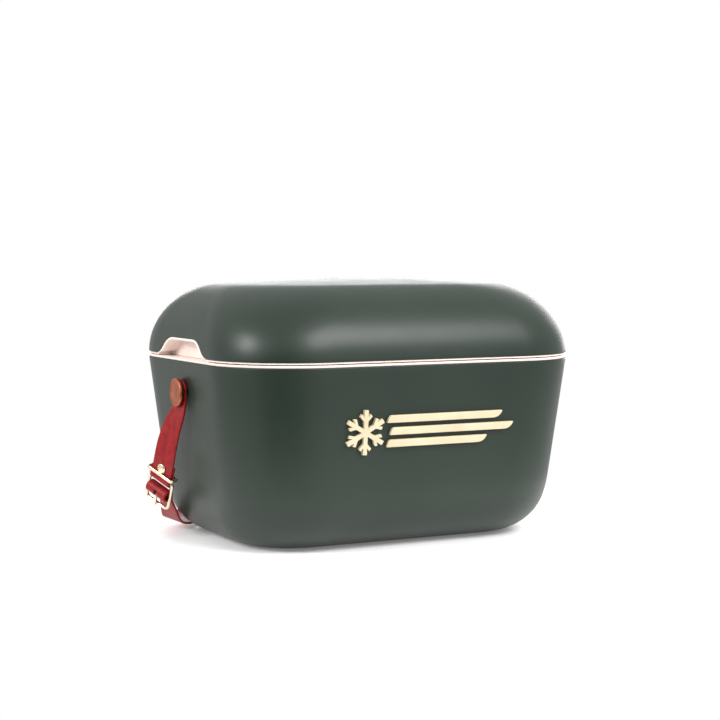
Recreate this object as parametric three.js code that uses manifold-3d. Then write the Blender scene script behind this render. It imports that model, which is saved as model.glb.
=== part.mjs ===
// Retro hard cooler box: a moulded tub and a domed lift-off lid, each a shell, foam and liner,
// with a leather carry strap that turns on a round knob at each end.
// Millimetres, +Z up, +X along the length, -Y the front. The origin is the middle of the flat base.

import * as THREE from 'three';
import { mergeVertices } from 'three/addons/utils/BufferGeometryUtils.js';
import Module from 'manifold-3d';

const wasm = await Module();
wasm.setup();

// ---------------------------------------------------------------- driving dimensions

const GAP = 0.3;                 // clearance between pieces that touch

const TUB = {
  height: 176.3,                 // top edge of the green shell
  halfLength: 190,               // at the top edge
  halfWidth: 155.4,
  corner: 85,                    // plan corner radius at the top edge
  endDraft: 0.104,               // inward slope of the ends
  sideDraft: 0.0985,             // inward slope of the long sides
  endBottomRadius: 45,
  sideBottomRadius: 67,
};
const LID = {
  bottom: 181.9,
  height: 69.2,                  // of the rounded side, below the crown
  crown: 4.5,
  endInset: 50.6,                // how far the rounded side leans in
  sideInset: 66,
  endPower: 1.97,
  sidePower: 1.6,
  topCorner: 88,
};
const SKIN = 2.5;                // wall of the green shells
const LINER_SKIN = 2;
const WALL = 20;                 // tub wall: shell, foam and liner together
const CORNER_STEPS = 8;          // facets of one plan corner

const FLANGE = { inset: 0.7, bottom: TUB.height + GAP, top: TUB.height + 2.7 };
const LIP = { bottom: 180.0, top: LID.bottom - GAP, seat: FLANGE.top + GAP, seatInset: 6 };
const PLUG = { inset: WALL + 1, bottom: 166 };

// finger recess in each end of the lid; half widths are at its top, waist and foot
const NOTCH = {
  top: 198.5,
  waist: 189,
  foot: LID.bottom + 0.4,
  halfTop: 24,
  halfWaist: 48,
  halfFoot: 62,
  topPull: 8,                    // how far the curves' control points sit from the waist
  footPull: 6,
  depth: 16,
  lining: 2,
  reach: 5,                      // how far the cut runs past the end of the lid
};

const KNOB = {
  z: 146.5,                      // height of the strap's turning axis
  radius: 14,
  thickness: 3,
  underside: 193.3,              // distance of the disc's inner face from the middle of the box
  sleeveRadius: 4,
  shankRadius: 2.2,
  washerRadius: 8,
  washerThickness: 1.5,
  nutAcrossCorners: 5,           // corner radius of the hexagon
  nutThickness: 5,
  shankEnd: 176,                 // distance of the threaded end from the middle of the box
  wellBottom: 174.5,             // the foam stops here, round the washer and nut
};
const STRAP = {
  width: 26,
  thickness: 2.4,
  hole: 4.6,
  softEdge: 0.6,
  behind: 138,                   // how far behind the middle of the box the strap hangs
  layer: 1.5,                    // middle of each of the two layers where the strap is folded back
};
const BUCKLE = {
  origin: new THREE.Vector3(-200.9, 25.5, 60.6),       // middle of the upper bar
  across: new THREE.Vector3(0.42, -0.8, -0.43),        // along the bars, towards the front
  barRadius: 1.4,
  halfWidth: 15.2,               // centre line of the side bars
  length: 29,                    // upper bar to lower bar
  centreBar: 14.5,
  highCorner: 2,
  lowCorner: 5,
};
const KEEPER = { y: 6.2, halfWidth: 16.2, halfDepth: 4.4, corner: 2, wire: 1.25 };
const RIVET = {
  y: 12.5,
  headRadius: 5,
  headHeight: 2,
  footRadius: 4.5,
  footThickness: 1.3,
  shank: 1.8,
  tube: 2.6,
  hole: 2.95,
  slot: 1,
  slotDepth: 0.7,
  slotTurn: 0.9,                 // radians
};
const LOOP = { y: -14.7, z: 0.3, radius: 5.2 };        // roll of leather round the centre bar
const PRONG = { ring: 3, bore: 1.6, width: 2.4, slot: 3.6, slotLength: 11.4, slotHeight: 9 };

const BADGE = {
  depth: 3.6,
  slope: Math.atan(TUB.sideDraft),
  z: 116,
  crystalX: -69,
  crystalRadius: 21,
  bar: 7,                        // height of each speed bar
};

// ---------------------------------------------------------------- materials

const finish = (color, roughness, metalness = 0) => new THREE.MeshStandardMaterial({
  color,
  roughness,
  metalness,
});
const GREEN = finish(0x3a463e, 0.45);
const PINK = finish(0xf2ded2, 0.5);
const FOAM = finish(0xe9e4d0, 0.95);
const LEATHER = finish(0xa8323a, 0.5);
const BRASS = finish(0xd8bd92, 0.3, 1);
const COPPER = finish(0xb4704e, 0.35, 1);
const STEEL = finish(0xb9bcbf, 0.35, 1);
const CREAM = finish(0xdccfae, 0.45);

const model = new THREE.Group();

// ---------------------------------------------------------------- geometry helpers

/** Drops normals and uvs and merges equal corners, so that a mesh is one closed body. */
function weld(geometry) {
  const g = geometry.index ? geometry.toNonIndexed() : geometry.clone();
  for (const name of Object.keys(g.attributes)) {
    if (name !== 'position') g.deleteAttribute(name);
  }
  return mergeVertices(g, 1e-4);
}

function solid(geometry) {
  const g = weld(geometry);
  return new wasm.Manifold(new wasm.Mesh({
    numProp: 3,
    vertProperties: new Float32Array(g.attributes.position.array),
    triVerts: new Uint32Array(g.index.array),
  }));
}

function geometryOf(manifold) {
  const mesh = manifold.getMesh();
  const g = new THREE.BufferGeometry();
  g.setAttribute('position', new THREE.BufferAttribute(new Float32Array(mesh.vertProperties), 3));
  g.setIndex(new THREE.BufferAttribute(new Uint32Array(mesh.triVerts), 1));
  return g;
}

function add(name, geometry, material, parent = model) {
  const g = weld(geometry);
  g.computeVertexNormals();
  const mesh = new THREE.Mesh(g, material);
  mesh.name = name;
  parent.add(mesh);
  return mesh;
}

/** Skins a row of rings that all have the same number of points; both ends are capped. */
function loft(rings, closed = false) {
  const count = rings[0].length;
  const positions = [];
  const triangle = (a, b, c) => positions.push(...a.toArray(), ...b.toArray(), ...c.toArray());
  const last = closed ? rings.length : rings.length - 1;
  for (let i = 0; i < last; i++) {
    const low = rings[i];
    const high = rings[(i + 1) % rings.length];
    for (let j = 0; j < count; j++) {
      const k = (j + 1) % count;
      triangle(low[j], low[k], high[k]);
      triangle(low[j], high[k], high[j]);
    }
  }
  if (!closed) {
    const first = rings[0];
    const end = rings[rings.length - 1];
    const middle = (ring) => ring.reduce((sum, p) => sum.add(p), new THREE.Vector3()).divideScalar(count);
    const bottom = middle(first);
    const top = middle(end);
    for (let j = 0; j < count; j++) {
      const k = (j + 1) % count;
      triangle(bottom, first[k], first[j]);
      triangle(top, end[j], end[k]);
    }
  }
  const g = new THREE.BufferGeometry();
  g.setAttribute('position', new THREE.Float32BufferAttribute(positions, 3));
  return g;
}

/** Plan outline of the box at one height: a rectangle with round corners. */
function outline({ a, b, r, z }) {
  const points = [];
  const radius = Math.max(Math.min(r, a - 1, b - 1), 1);
  for (let quarter = 0; quarter < 4; quarter++) {
    const sx = quarter === 0 || quarter === 3 ? 1 : -1;
    const sy = quarter < 2 ? 1 : -1;
    for (let i = 0; i <= CORNER_STEPS; i++) {
      const angle = (quarter + i / CORNER_STEPS) * Math.PI / 2;
      const x = sx * (a - radius) + radius * Math.cos(angle);
      const y = sy * (b - radius) + radius * Math.sin(angle);
      points.push(new THREE.Vector3(x, y, z));
    }
  }
  return points;
}

/** Half size of the tub at a height above its base: a drafted wall that ends in a round bottom edge. */
function halfSize(z, full, draft, radius, height) {
  const lean = Math.atan(draft);
  const tangentHeight = radius * (1 - Math.sin(lean));
  if (z >= tangentHeight) return full - draft * (height - z);
  const centre = full - draft * (height - tangentHeight) - radius * Math.cos(lean);
  return centre + Math.sqrt(Math.max(radius ** 2 - (radius - z) ** 2, 0));
}

/** Tub section at height z, measured inwards from the outer skin by inset. */
function tubLevel(z, inset = 0) {
  const height = TUB.height - inset;
  const up = Math.max(z - inset, 0);
  const a = halfSize(up, TUB.halfLength - inset, TUB.endDraft, TUB.endBottomRadius - inset, height);
  const b = halfSize(up, TUB.halfWidth - inset, TUB.sideDraft, TUB.sideBottomRadius - inset, height);
  const straightA = TUB.halfLength - inset - TUB.endDraft * (height - up);
  const straightB = TUB.halfWidth - inset - TUB.sideDraft * (height - up);
  const r = TUB.corner - inset - 0.47 * (straightA - a + straightB - b);
  return { a, b, r, z };
}

/** Tub sections from the floor at this inset up to a height, close together round the bottom edge. */
function tubWall(inset, top, arcSteps = 6) {
  const levels = [];
  const arc = TUB.sideBottomRadius - inset;
  for (let i = 0; i <= arcSteps; i++) {
    levels.push(inset + arc * (1 - Math.cos(i / arcSteps * Math.PI / 2)));
  }
  levels.push((levels[arcSteps] + top) / 2, top);
  return levels.map((z) => tubLevel(z, inset));
}

/** Lid sections from its lower edge to the top of the dome, measured inwards by inset. */
function lidDome(inset, steps = 8, crownSteps = 3) {
  const sections = [];
  const height = LID.height - inset;
  const level = (t) => {
    const angle = t * Math.PI / 2;
    const lean = (power) => 1 - Math.cos(angle) ** (2 / power);
    return {
      a: TUB.halfLength - inset - (LID.endInset - inset * 0.4) * lean(LID.endPower),
      b: TUB.halfWidth - inset - (LID.sideInset - inset * 0.4) * lean(LID.sidePower),
      r: TUB.corner - inset + (LID.topCorner - TUB.corner) * t,
      z: LID.bottom + height * Math.sin(angle) ** (2 / LID.endPower),
    };
  };
  for (let i = 0; i <= steps; i++) sections.push(level(i / steps));
  const rim = sections[steps];
  for (let i = 1; i < crownSteps; i++) {
    const s = 1 - i / crownSteps;
    sections.push({ a: rim.a * s, b: rim.b * s, r: rim.r * s, z: rim.z + LID.crown * (1 - s * s) });
  }
  return sections;
}

const sectionsToLoft = (sections) => loft(sections.map(outline));

/** The top edge outline moved inwards, at any height near the rim. */
const rimSection = (inset, z) => ({
  a: TUB.halfLength - inset,
  b: TUB.halfWidth - inset,
  r: TUB.corner - inset,
  z,
});

/** A flat shape in Y and Z pushed through along X, from x0 to x1. */
function alongX(shape, x0, x1) {
  const g = new THREE.ExtrudeGeometry(shape, { depth: x1 - x0, bevelEnabled: false, curveSegments: 6 });
  g.applyMatrix4(new THREE.Matrix4().makeBasis(
    new THREE.Vector3(0, 1, 0),
    new THREE.Vector3(0, 0, 1),
    new THREE.Vector3(1, 0, 0),
  ));
  return g.translate(x0, 0, 0);
}

/** A round bar along X at the knob's height. */
function rodAlongX(radius, x0, x1, sides = 24) {
  const g = new THREE.CylinderGeometry(radius, radius, x1 - x0, sides);
  return g.rotateZ(Math.PI / 2).translate((x0 + x1) / 2, 0, KNOB.z);
}

// ---------------------------------------------------------------- finger recess

/** Outline of the finger recess in the lid's end, grown outwards by an offset: wide feet, a round top. */
function notchShape(offset, bottom) {
  const { halfTop, footPull, topPull } = NOTCH;
  const top = NOTCH.top + offset;
  const waist = NOTCH.waist + offset;
  const foot = NOTCH.foot + offset;
  const halfWaist = NOTCH.halfWaist + offset;
  const halfFoot = NOTCH.halfFoot + offset;
  const s = new THREE.Shape();
  s.moveTo(-halfFoot, bottom);
  s.lineTo(halfFoot, bottom);
  s.lineTo(halfFoot, NOTCH.foot);
  s.quadraticCurveTo(halfWaist + footPull, foot, halfWaist, waist);
  s.quadraticCurveTo(halfWaist - topPull, top, halfTop, top);
  s.lineTo(-halfTop, top);
  s.quadraticCurveTo(-halfWaist + topPull, top, -halfWaist, waist);
  s.quadraticCurveTo(-halfWaist - footPull, foot, -halfFoot, NOTCH.foot);
  return s;
}

/** Orders two distances from the middle as x0 < x1 on the left (-1) or right (+1) side. */
const span = (side, near, far) => (side > 0 ? [near, far] : [-far, -near]);

const lidEnd = TUB.halfLength;
const notchBottom = LIP.bottom - 2;
const liningEnd = lidEnd - NOTCH.depth - NOTCH.lining;
const notchSolid = (offset, bottom, reach) => solid(alongX(notchShape(offset, bottom), ...reach));

// hollow that the fingers go into, its lining, and the room that the shell and the foam leave for it
const recess = {
  hollow: (side) => {
    const reach = span(side, lidEnd - NOTCH.depth, lidEnd + NOTCH.reach);
    return notchSolid(-NOTCH.lining, notchBottom, reach);
  },
  lining: (side) => notchSolid(0, LIP.bottom + 0.8, span(side, liningEnd, lidEnd - FLANGE.inset)),
  room: (side) => notchSolid(GAP, notchBottom, span(side, liningEnd - GAP, lidEnd + NOTCH.reach)),
};

// ---------------------------------------------------------------- tub

function tubShell() {
  const outer = tubWall(0, TUB.height);
  const inner = tubWall(SKIN, TUB.height).reverse();
  let body = solid(sectionsToLoft([...outer, ...inner]));
  for (const side of [-1, 1]) {
    const hole = rodAlongX(KNOB.shankRadius + GAP, ...span(side, KNOB.wellBottom, TUB.halfLength));
    body = body.subtract(solid(hole));
  }
  return geometryOf(body);
}

function tubFoam() {
  const outer = tubWall(SKIN + GAP, TUB.height - GAP);
  const inner = tubWall(WALL - LINER_SKIN - GAP, TUB.height - GAP).reverse();
  let body = solid(sectionsToLoft([...outer, ...inner]));
  for (const side of [-1, 1]) {
    const well = rodAlongX(KNOB.washerRadius + 1, ...span(side, KNOB.wellBottom, TUB.halfLength));
    body = body.subtract(solid(well));
  }
  return geometryOf(body);
}

function tubLiner() {
  const outside = tubWall(WALL - LINER_SKIN, FLANGE.bottom);
  const inside = tubWall(WALL, FLANGE.top).reverse();
  return sectionsToLoft([
    ...outside,
    rimSection(FLANGE.inset, FLANGE.bottom),
    rimSection(FLANGE.inset, FLANGE.top),
    ...inside,
  ]);
}

// ---------------------------------------------------------------- lid

function lidShell() {
  const outer = lidDome(0);
  const inner = lidDome(SKIN);
  let body = solid(sectionsToLoft([...inner.reverse(), ...outer]));
  for (const side of [-1, 1]) body = body.subtract(recess.room(side));
  return geometryOf(body);
}

function lidFoam() {
  const dome = lidDome(SKIN + GAP);
  dome[0].z = LIP.top + GAP;
  const panelTop = PLUG.bottom + LINER_SKIN + GAP;
  let body = solid(sectionsToLoft([
    rimSection(PLUG.inset + 6, panelTop),
    rimSection(PLUG.inset + LINER_SKIN + 1, panelTop + 4),
    rimSection(PLUG.inset + LINER_SKIN + 1, LIP.top + GAP),
    ...dome,
  ]));
  for (const side of [-1, 1]) body = body.subtract(recess.room(side));
  return geometryOf(body);
}

function lidLiner() {
  const underside = [
    rimSection(PLUG.inset + 4, PLUG.bottom),
    rimSection(PLUG.inset + 1, PLUG.bottom + 3),
    rimSection(PLUG.inset, LIP.seat),
    rimSection(LIP.seatInset, LIP.seat),
    rimSection(LIP.seatInset, LIP.bottom),
    rimSection(FLANGE.inset, LIP.bottom),
  ];
  const topside = [
    rimSection(FLANGE.inset, LIP.top),
    rimSection(PLUG.inset + LINER_SKIN, LIP.top),
    rimSection(PLUG.inset + LINER_SKIN + 0.6, PLUG.bottom + LINER_SKIN + 3.4),
    rimSection(PLUG.inset + LINER_SKIN + 3, PLUG.bottom + LINER_SKIN),
  ];
  let body = solid(sectionsToLoft([...underside, ...topside]));
  for (const side of [-1, 1]) body = body.add(recess.lining(side)).subtract(recess.hollow(side));
  return geometryOf(body);
}

// ---------------------------------------------------------------- knobs

/** Round disc with a softened rim, and the shank that holds it through the wall. */
function knobCap() {
  const { radius, thickness, shankRadius } = KNOB;
  const shank = KNOB.underside - KNOB.shankEnd;
  const profile = [
    [0, -shank],
    [shankRadius, -shank],
    [shankRadius, 0],
    [radius - 0.6, 0],
    [radius, 0.6],
    [radius, thickness - 0.8],
    [radius - 0.8, thickness],
    [radius - 2.2, thickness],
    [radius - 3, thickness - 0.5],
    [0, thickness - 0.2],
  ].map(([r, h]) => new THREE.Vector2(r, h));
  return new THREE.LatheGeometry(profile, 24);
}

function ring(outer, inner, length, sides) {
  const shape = new THREE.Shape().absarc(0, 0, outer, 0, Math.PI * 2, false);
  shape.holes.push(new THREE.Path().absarc(0, 0, inner, 0, Math.PI * 2, true));
  return new THREE.ExtrudeGeometry(shape, { depth: length, bevelEnabled: false, curveSegments: sides });
}

function addKnob(label, side) {
  const turned = new THREE.Group();
  turned.position.set(0, 0, KNOB.z);
  turned.rotation.y = side * Math.PI / 2;              // local +Z points out of the end of the box
  model.add(turned);

  const wallOutside = TUB.halfLength - TUB.endDraft * (TUB.height - KNOB.z);
  const wallInside = wallOutside - SKIN;
  const lean = TUB.endDraft;

  const cap = knobCap().rotateX(Math.PI / 2).translate(0, 0, KNOB.underside);
  add(`${label}_knob_cap`, cap, COPPER, turned);

  const sleeveStart = wallOutside + KNOB.sleeveRadius * lean + GAP;
  const sleeve = ring(KNOB.sleeveRadius, KNOB.shankRadius + GAP, KNOB.underside - GAP - sleeveStart, 10);
  add(`${label}_knob_sleeve`, sleeve.translate(0, 0, sleeveStart), BRASS, turned);

  const washerTop = wallInside - KNOB.washerRadius * lean - GAP;
  const washerBottom = washerTop - KNOB.washerThickness;
  const washer = ring(KNOB.washerRadius, KNOB.shankRadius + GAP, KNOB.washerThickness, 10);
  add(`${label}_knob_washer`, washer.translate(0, 0, washerBottom), STEEL, turned);

  const nutTop = washerBottom - GAP;
  const hexBore = (KNOB.shankRadius + GAP) / Math.cos(Math.PI / 6);
  const nut = ring(KNOB.nutAcrossCorners, hexBore, KNOB.nutThickness, 3);
  add(`${label}_knob_nut`, nut.translate(0, 0, nutTop - KNOB.nutThickness), STEEL, turned);
}

// ---------------------------------------------------------------- ribbons of leather

/**
 * Sweeps a flat strip along a smooth line. Each station is { p, w, s }: a point on the middle line, the
 * direction across the strip, and optionally the share of the full width. Corners are softened.
 */
function ribbon(stations, stepsPerSpan = 2) {
  const line = new THREE.CatmullRomCurve3(stations.map((k) => k.p), false, 'centripetal');
  const across = new THREE.CatmullRomCurve3(stations.map((k) => k.w), false, 'centripetal');
  const shares = stations.map((k) => k.s ?? 1);
  const count = (stations.length - 1) * stepsPerSpan;
  const rings = [];
  for (let i = 0; i <= count; i++) {
    const t = i / count;
    const place = t * (stations.length - 1);
    const index = Math.min(Math.floor(place), stations.length - 2);
    const share = THREE.MathUtils.lerp(shares[index], shares[index + 1], place - index);
    const p = line.getPoint(t);
    const along = line.getTangent(t);
    const w = across.getPoint(t);
    w.addScaledVector(along, -w.dot(along)).normalize();
    const up = new THREE.Vector3().crossVectors(along, w);
    const half = STRAP.width / 2 * share;
    const thick = STRAP.thickness / 2;
    const edge = STRAP.softEdge;
    const section = [
      [half, -thick + edge],
      [half, thick - edge],
      [half - edge, thick],
      [-half + edge, thick],
      [-half, thick - edge],
      [-half, -thick + edge],
      [-half + edge, -thick],
      [half - edge, -thick],
    ];
    rings.push(section.map(([u, v]) => p.clone().addScaledVector(w, u).addScaledVector(up, v)));
  }
  return loft(rings);
}

// local axes of the buckle: x across the strap, y up the strap, z outwards
const buckleX = BUCKLE.across.clone().normalize();
const strapDown = new THREE.Vector3(0, 0.473, -0.88);
strapDown.addScaledVector(buckleX, -strapDown.dot(buckleX)).normalize();
const buckleY = strapDown.clone().negate();
const buckleZ = new THREE.Vector3().crossVectors(buckleX, buckleY);
const buckleFrame = new THREE.Matrix4().makeBasis(buckleX, buckleY, buckleZ).setPosition(BUCKLE.origin);

const atBuckle = (y, z) => ({ p: new THREE.Vector3(0, y, z).applyMatrix4(buckleFrame), w: buckleX });

/** Points of an arc in the buckle's y and z, from one angle to another in degrees. */
function foldRound(y, z, radius, from, to, steps) {
  const stations = [];
  for (let i = 0; i <= steps; i++) {
    const angle = THREE.MathUtils.degToRad(from + (to - from) * i / steps);
    stations.push(atBuckle(y + radius * Math.sin(angle), z + radius * Math.cos(angle)));
  }
  return stations;
}

const vec = (x, y, z) => new THREE.Vector3(x, y, z);

/** The round end of the strap under a knob, and its first stretch, on the left (-1) or right (+1). */
function knobEnd(side) {
  const half = STRAP.width / 2;
  const across = (lean) => vec(-side * lean, -0.95, -0.26);
  const end = [-13, -12.2, -10.4, -7.4, -3.5].map((down) => ({
    p: vec(side * 189.8, down * 0.26, KNOB.z - down * 0.966),
    w: across(0),
    s: Math.max(Math.sqrt(half ** 2 - down ** 2) / half, 0.16),
  }));
  return [
    ...end,
    { p: vec(side * 189.9, 0.5, KNOB.z - 2), w: across(0) },
    { p: vec(side * 191.4, 0.8, KNOB.z - 14), w: across(0.02) },
    { p: vec(side * 194.0, 1.8, KNOB.z - 22), w: across(0.14) },
    { p: vec(side * 196.6, 3.6, KNOB.z - 30), w: across(0.25) },
    { p: vec(side * 198.8, 6.2, KNOB.z - 39), w: across(0.32) },
    { p: vec(side * 201.2, 10, KNOB.z - 53), w: vec(-side * 0.38, -0.84, -0.4) },
  ];
}

const barFold = BUCKLE.barRadius + GAP + STRAP.thickness / 2;

function shortStrap() {
  const stations = [
    ...knobEnd(-1),
    atBuckle(22, STRAP.layer),
    atBuckle(12, STRAP.layer),
    atBuckle(6, STRAP.layer + 0.4),
    ...foldRound(0, 0, barFold, 15, -195, 6),
    atBuckle(6, -STRAP.layer - 0.4),
    atBuckle(12, -STRAP.layer),
    atBuckle(17.5, -STRAP.layer),
  ];
  let body = solid(ribbon(stations));
  body = body.subtract(solid(strapHole(-1)));
  body = body.subtract(solid(rivetHole()));
  return geometryOf(body);
}

/** Hole for the knob's sleeve, through the round end of the strap. */
const strapHole = (side) => rodAlongX(STRAP.hole, ...span(side, 184, 196), 20);

function rivetHole() {
  const g = new THREE.CylinderGeometry(RIVET.hole, RIVET.hole, 12, 16).rotateX(Math.PI / 2);
  return g.translate(0, RIVET.y, 0).applyMatrix4(buckleFrame);
}

function longStrap() {
  // the path behind the box, from the right knob to the left; the lower edge just clears the ground
  const behind = [
    { p: vec(201.4, 16, 80), w: vec(-0.42, -0.8, -0.43) },
    { p: vec(201.6, 25, 61), w: vec(-0.42, -0.82, -0.38) },
    { p: vec(198.4, 37, 42), w: vec(-0.45, -0.85, -0.3) },
    { p: vec(189, 51, 26), w: vec(-0.55, -0.8, -0.22) },
    { p: vec(176, 66, 13.5), w: vec(-0.66, -0.72, -0.2) },
    { p: vec(162, 83, 7.5), w: vec(-0.72, -0.62, -0.24) },
    { p: vec(147, 102, 7.4), w: vec(-0.66, -0.62, -0.4) },
    { p: vec(126, 119, 9), w: vec(-0.5, -0.65, -0.55) },
    { p: vec(98, 130.5, 11), w: vec(-0.3, -0.66, -0.66) },
    { p: vec(55, 136.5, 12), w: vec(-0.12, -0.68, -0.72) },
    { p: vec(0, STRAP.behind, 12), w: vec(0, -0.68, -0.73) },
    { p: vec(-55, 136.5, 12), w: vec(0.12, -0.68, -0.72) },
    { p: vec(-98, 130.5, 11), w: vec(0.3, -0.66, -0.66) },
    { p: vec(-126, 119, 9), w: vec(0.5, -0.65, -0.55) },
    { p: vec(-147, 102, 7.4), w: vec(0.66, -0.62, -0.4) },
    { p: vec(-166, 80, 9.5), w: vec(0.5, -0.78, -0.2) },
    { p: vec(-178, 60, 19), w: vec(0.25, -0.9, -0.15) },
    { p: vec(-187.5, 44, 33), w: vec(0.28, -0.9, -0.3) },
  ];
  const loop = foldRound(LOOP.y, LOOP.z, LOOP.radius, 165, -125, 9);
  // the end of the leather is tucked in behind the roll
  const tail = [atBuckle(-23.5, -5.2), atBuckle(-27, -6.6)];
  const stations = [...knobEnd(1), ...behind, ...loop, ...tail];
  let body = solid(ribbon(stations));
  body = body.subtract(solid(strapHole(1)));
  const slot = new THREE.BoxGeometry(PRONG.slot, PRONG.slotLength, PRONG.slotHeight);
  slot.translate(0, LOOP.y - 3.3, LOOP.z + PRONG.slotHeight / 2 - GAP);
  return geometryOf(body.subtract(solid(slot.applyMatrix4(buckleFrame))));
}

// ---------------------------------------------------------------- buckle

/** A round wire bent into a closed rectangle with round corners, in a plane given by two axes. */
function wireLoop(halfWidth, low, high, lowCorner, highCorner, radius, axisB) {
  const points = [];
  const centres = [
    [halfWidth - highCorner, high - highCorner, 0, highCorner],
    [-halfWidth + highCorner, high - highCorner, 90, highCorner],
    [-halfWidth + lowCorner, low + lowCorner, 180, lowCorner],
    [halfWidth - lowCorner, low + lowCorner, 270, lowCorner],
  ];
  for (const [x, y, start, corner] of centres) {
    for (let i = 0; i <= 4; i++) {
      const angle = THREE.MathUtils.degToRad(start + i * 22.5);
      points.push([x + corner * Math.cos(angle), y + corner * Math.sin(angle), angle]);
    }
  }
  const normal = new THREE.Vector3().crossVectors(new THREE.Vector3(1, 0, 0), axisB);
  const sides = 8;
  const rings = points.map(([x, y, angle]) => {
    const middle = new THREE.Vector3(x, 0, 0).addScaledVector(axisB, y);
    const out = new THREE.Vector3(Math.cos(angle), 0, 0).addScaledVector(axisB, Math.sin(angle));
    const section = [];
    for (let i = 0; i < sides; i++) {
      const turn = -i / sides * Math.PI * 2;
      section.push(middle.clone()
        .addScaledVector(out, radius * Math.cos(turn))
        .addScaledVector(normal, radius * Math.sin(turn)));
    }
    return section;
  });
  return loft(rings, true);
}

function buckleFrameWire() {
  const { barRadius, halfWidth, length, centreBar, lowCorner, highCorner } = BUCKLE;
  const rim = solid(wireLoop(halfWidth, -length, 0, lowCorner, highCorner, barRadius, vec(0, 1, 0)));
  const bar = new THREE.CylinderGeometry(barRadius, barRadius, halfWidth * 2, 12).rotateZ(Math.PI / 2);
  return geometryOf(rim.add(solid(bar.translate(0, -centreBar, 0))));
}

function keeper() {
  const { y, halfWidth, halfDepth, corner, wire } = KEEPER;
  return wireLoop(halfWidth, -halfDepth, halfDepth, corner, corner, wire, vec(0, 0, 1)).translate(0, y, 0);
}

/** Slotted screw whose shank goes half-way through the fold. */
function rivetScrew() {
  const { headRadius, headHeight, shank } = RIVET;
  const face = STRAP.layer + STRAP.thickness / 2 + GAP;
  const profile = [
    [0, -1],
    [shank, -1],
    [shank, face],
    [headRadius, face],
    [headRadius, face + headHeight * 0.4],
    [headRadius * 0.8, face + headHeight * 0.85],
    [headRadius * 0.4, face + headHeight],
    [0, face + headHeight],
  ].map(([r, h]) => new THREE.Vector2(r, h));
  const screw = solid(new THREE.LatheGeometry(profile, 20));
  const slot = new THREE.BoxGeometry(RIVET.slot, RIVET.slotDepth * 2, headRadius * 3);
  slot.translate(0, face + headHeight, 0).rotateY(RIVET.slotTurn);
  const g = geometryOf(screw.subtract(solid(slot)));
  return g.rotateX(Math.PI / 2).translate(0, RIVET.y, 0);
}

/** Flat head and the tube that the screw turns into. */
function rivetPost() {
  const { tube, shank, footRadius, footThickness } = RIVET;
  const back = -(STRAP.layer + STRAP.thickness / 2 + GAP);
  const profile = [
    [0, back - footThickness],
    [footRadius, back - footThickness],
    [footRadius, back],
    [tube, back],
    [tube, 2],
    [shank + GAP, 2],
    [shank + GAP, -1.6],
    [0, -1.6],
  ].map(([r, h]) => new THREE.Vector2(r, h));
  return new THREE.LatheGeometry(profile, 20).rotateX(Math.PI / 2).translate(0, RIVET.y, 0);
}

/** Prong: a ring that turns on the centre bar, and a pin that rests on the lower bar. */
function prong() {
  const eye = ring(PRONG.ring, PRONG.bore, PRONG.width, 12).translate(0, 0, -PRONG.width / 2);
  eye.rotateY(Math.PI / 2).translate(0, -BUCKLE.centreBar, 0);
  const reach = BUCKLE.length - BUCKLE.centreBar;
  const rest = BUCKLE.barRadius + GAP;
  const side = new THREE.Shape();
  side.moveTo(-1.2, PRONG.bore + 0.15);
  side.lineTo(-1.2, PRONG.ring - 0.1);
  side.lineTo(-6, PRONG.ring + 0.9);
  side.lineTo(-reach + 1, rest + 2);
  side.lineTo(-reach - 1.8, rest + 1.5);
  side.lineTo(-reach - 1.8, rest + 0.4);
  side.lineTo(-reach, rest);
  side.lineTo(-6, PRONG.bore + 0.6);
  side.lineTo(-2.2, PRONG.bore + 0.15);
  const pin = new THREE.ExtrudeGeometry(side, { depth: PRONG.width, bevelEnabled: false });
  pin.applyMatrix4(new THREE.Matrix4().makeBasis(vec(0, 1, 0), vec(0, 0, 1), vec(1, 0, 0)));
  pin.translate(-PRONG.width / 2, -BUCKLE.centreBar, 0);
  return geometryOf(solid(eye).add(solid(pin)));
}

// ---------------------------------------------------------------- badge

/** Bar with a slanted, rounded start and a long swept end. */
function speedBar(x0, x1, y, height) {
  const lean = height * 0.35;
  const half = height / 2;
  const s = new THREE.Shape();
  s.moveTo(x0 - lean, y - half);
  s.lineTo(x1 - lean * 3, y - half);
  s.quadraticCurveTo(x1, y - half * 0.9, x1 + lean, y + half);
  s.lineTo(x0 + lean, y + half);
  s.quadraticCurveTo(x0 - lean * 0.5, y + half, x0 - lean, y - half);
  return s;
}

/** Six-armed snow crystal with one pair of branches on each arm. */
function snowCrystal(radius) {
  const arm = 2.1;
  const points = [];
  for (let i = 0; i < 6; i++) {
    const turn = i * Math.PI / 3 + Math.PI / 6;
    const local = [
      [arm * 1.9, -arm],
      [radius * 0.5, -arm],
      [radius * 0.72, -arm * 3],
      [radius * 0.83, -arm * 2.1],
      [radius * 0.68, -arm],
      [radius, -arm],
      [radius, arm],
      [radius * 0.68, arm],
      [radius * 0.83, arm * 2.1],
      [radius * 0.72, arm * 3],
      [radius * 0.5, arm],
      [arm * 1.9, arm],
    ];
    for (const [x, y] of local) {
      points.push(new THREE.Vector2(
        x * Math.cos(turn) - y * Math.sin(turn),
        x * Math.sin(turn) + y * Math.cos(turn),
      ));
    }
  }
  return new THREE.Shape(points);
}

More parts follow.
